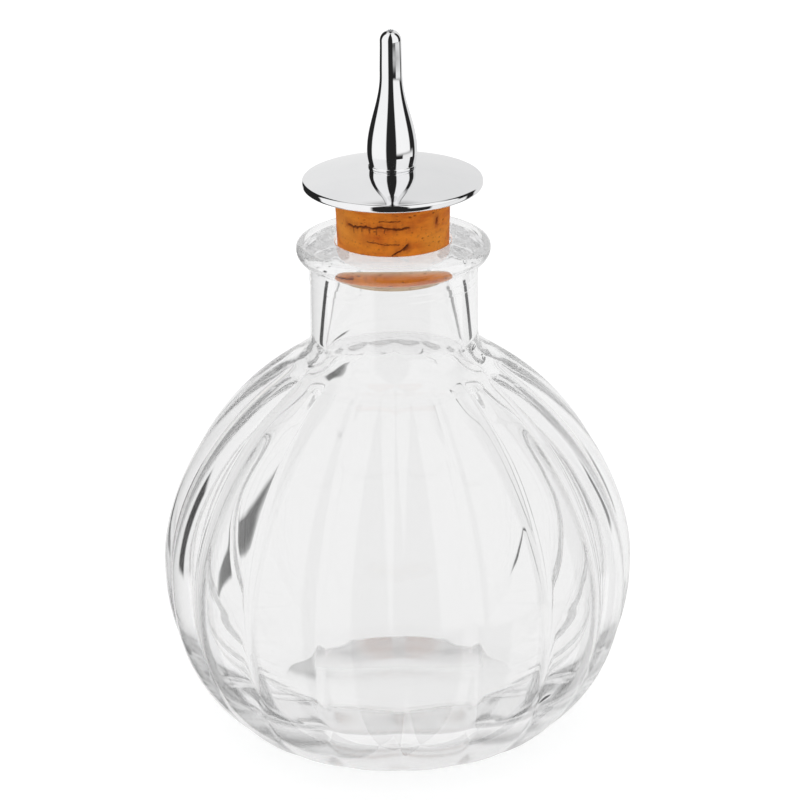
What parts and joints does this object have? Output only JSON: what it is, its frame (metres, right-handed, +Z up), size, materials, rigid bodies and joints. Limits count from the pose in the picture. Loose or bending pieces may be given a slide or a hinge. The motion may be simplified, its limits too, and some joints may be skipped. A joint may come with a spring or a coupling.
{
  "type": "bitters bottle",
  "caption": "Melon-ribbed glass globe bottle with a plain neck and rolled lip, closed by a cork with a domed metal collar and a slim dash spout.",
  "frame": {"origin": "centre of the foot, on the surface that the bottle stands on", "axes": "+Z up along the axis of the bottle, cork and spout; -Y is the front, where a valley between two ribs faces the viewer"},
  "size_m": [0.086, 0.0852, 0.1329],
  "materials": {
    "glass": "clear moulded soda-lime glass, fire polished",
    "cork": "natural cork, fine sanded, with dark pores and cracks",
    "chrome": "mirror polished",
    "tube_steel": "drawn stainless tube"
  },
  "bodies": {
    "bottle": {"bottle": "glass"},
    "stopper": {"cork": "cork", "stem_tube": "tube_steel", "collar_disc": "chrome", "spout": "chrome"}
  },
  "joints": [
    {"name": "stopper_lift", "type": "slide", "parent": "bottle", "child": "stopper", "axis": [0, 0, 1], "range_m": [0, 0.03]}
  ]
}
